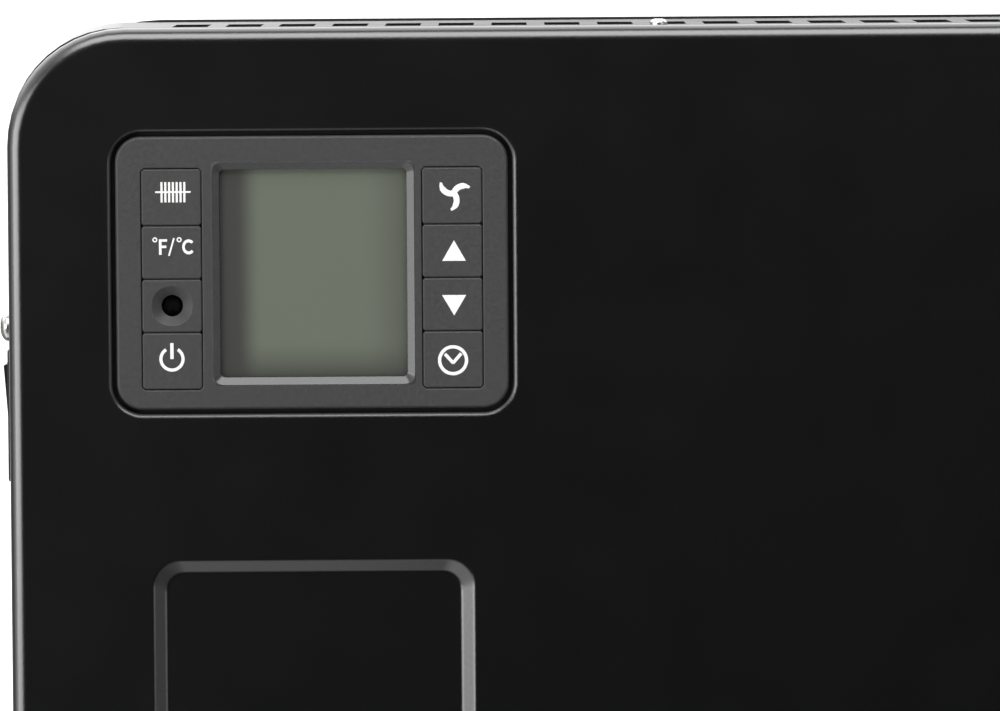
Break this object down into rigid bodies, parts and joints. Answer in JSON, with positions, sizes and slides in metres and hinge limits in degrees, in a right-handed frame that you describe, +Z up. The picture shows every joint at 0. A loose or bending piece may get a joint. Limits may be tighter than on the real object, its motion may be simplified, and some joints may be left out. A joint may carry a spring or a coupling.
{
  "type": "convector heater",
  "caption": "Slim free-standing electric convector heater with black sheet-metal body, top outlet slots, touch-key display module, side rocker switch and moulded feet.",
  "frame": {"origin": "on the floor, under the middle of the whole object", "axes": "+X to the object's right as seen from the front, -Y out of the front face, +Z up"},
  "size_m": [0.6602, 0.24, 0.4695],
  "materials": {
    "panel_paint": "satin",
    "casing_paint": "satin",
    "back_paint": "satin",
    "screw_plate": "polished",
    "zinc_steel": "satin",
    "bezel_plastic": "satin",
    "key_plastic": "satin",
    "black_plastic": "matte",
    "foot_plastic": "matte",
    "pad_rubber": "matte",
    "lcd_glass": "gloss",
    "white_plastic": "satin",
    "dark_lens": "gloss",
    "green_laminate": "satin",
    "rocker_plastic": "satin",
    "mica_sheet": "satin",
    "fin_aluminium": "satin",
    "tube_steel": "satin",
    "bush_ceramic": "matte",
    "rotor_aluminium": "satin",
    "stack_steel": "satin",
    "coil_tape": "satin"
  },
  "bodies": {
    "heater": {"front_panel": "panel_paint", "casing": "casing_paint", "back_panel": "back_paint", "side_screws": "screw_plate", "clip_nuts": "zinc_steel", "tray_screws": "screw_plate", "back_screws": "screw_plate", "left_foot": "foot_plastic", "right_foot": "foot_plastic", "foot_pads": "pad_rubber", "foot_screws": "zinc_steel", "foot_nuts": "zinc_steel", "control_bezel": "bezel_plastic", "receiver_insert": "key_plastic", "ir_receiver": "dark_lens", "tact_switches": "black_plastic", "lcd_glass": "lcd_glass", "lcd_frame": "white_plastic", "control_board": "green_laminate", "board_screws": "zinc_steel", "control_housing": "black_plastic", "module_screws": "zinc_steel", "switch_frame": "black_plastic", "switch_terminals": "zinc_steel", "left_divider": "zinc_steel", "right_divider": "zinc_steel", "heat_shield": "mica_sheet", "element_fins": "fin_aluminium", "element_tubes": "tube_steel", "element_insulators": "bush_ceramic", "thermal_cutout": "zinc_steel", "fan_bearing": "black_plastic", "fan_scroll": "zinc_steel", "fan_motor": "stack_steel", "fan_coil": "coil_tape", "motor_posts": "zinc_steel", "power_board": "green_laminate", "board_spacers": "white_plastic", "relays": "black_plastic", "terminal_block": "white_plastic", "cable_gland": "black_plastic", "tip_switch": "white_plastic", "room_sensor": "white_plastic"},
    "key_heat": {"key_heat": "key_plastic"},
    "key_units": {"key_units": "key_plastic"},
    "key_power": {"key_power": "key_plastic"},
    "key_fan": {"key_fan": "key_plastic"},
    "key_up": {"key_up": "key_plastic"},
    "key_down": {"key_down": "key_plastic"},
    "key_timer": {"key_timer": "key_plastic"},
    "rocker": {"side_rocker": "rocker_plastic"},
    "fan": {"fan_rotor": "rotor_aluminium"}
  },
  "joints": [
    {"name": "key_heat_press", "type": "slide", "parent": "heater", "child": "key_heat", "axis": [0, 1, 0], "range_m": [0, 0.0008], "stiffness_N_per_m": 400, "springref_m": -0.0005},
    {"name": "key_units_press", "type": "slide", "parent": "heater", "child": "key_units", "axis": [0, 1, 0], "range_m": [0, 0.0008], "stiffness_N_per_m": 400, "springref_m": -0.0005},
    {"name": "key_power_press", "type": "slide", "parent": "heater", "child": "key_power", "axis": [0, 1, 0], "range_m": [0, 0.0008], "stiffness_N_per_m": 400, "springref_m": -0.0005},
    {"name": "key_fan_press", "type": "slide", "parent": "heater", "child": "key_fan", "axis": [0, 1, 0], "range_m": [0, 0.0008], "stiffness_N_per_m": 400, "springref_m": -0.0005},
    {"name": "key_up_press", "type": "slide", "parent": "heater", "child": "key_up", "axis": [0, 1, 0], "range_m": [0, 0.0008], "stiffness_N_per_m": 400, "springref_m": -0.0005},
    {"name": "key_down_press", "type": "slide", "parent": "heater", "child": "key_down", "axis": [0, 1, 0], "range_m": [0, 0.0008], "stiffness_N_per_m": 400, "springref_m": -0.0005},
    {"name": "key_timer_press", "type": "slide", "parent": "heater", "child": "key_timer", "axis": [0, 1, 0], "range_m": [0, 0.0008], "stiffness_N_per_m": 400, "springref_m": -0.0005},
    {"name": "rocker_tilt", "type": "hinge", "parent": "heater", "child": "rocker", "pos_m": [-0.3225, -0.019, 0.3704], "axis": [0, 1, 0], "range_deg": [0, 8.8]},
    {"name": "fan_spin", "type": "hinge", "parent": "heater", "child": "fan", "pos_m": [0.02, 0, 0.0655], "axis": [1, 0, 0], "continuous": true}
  ]
}
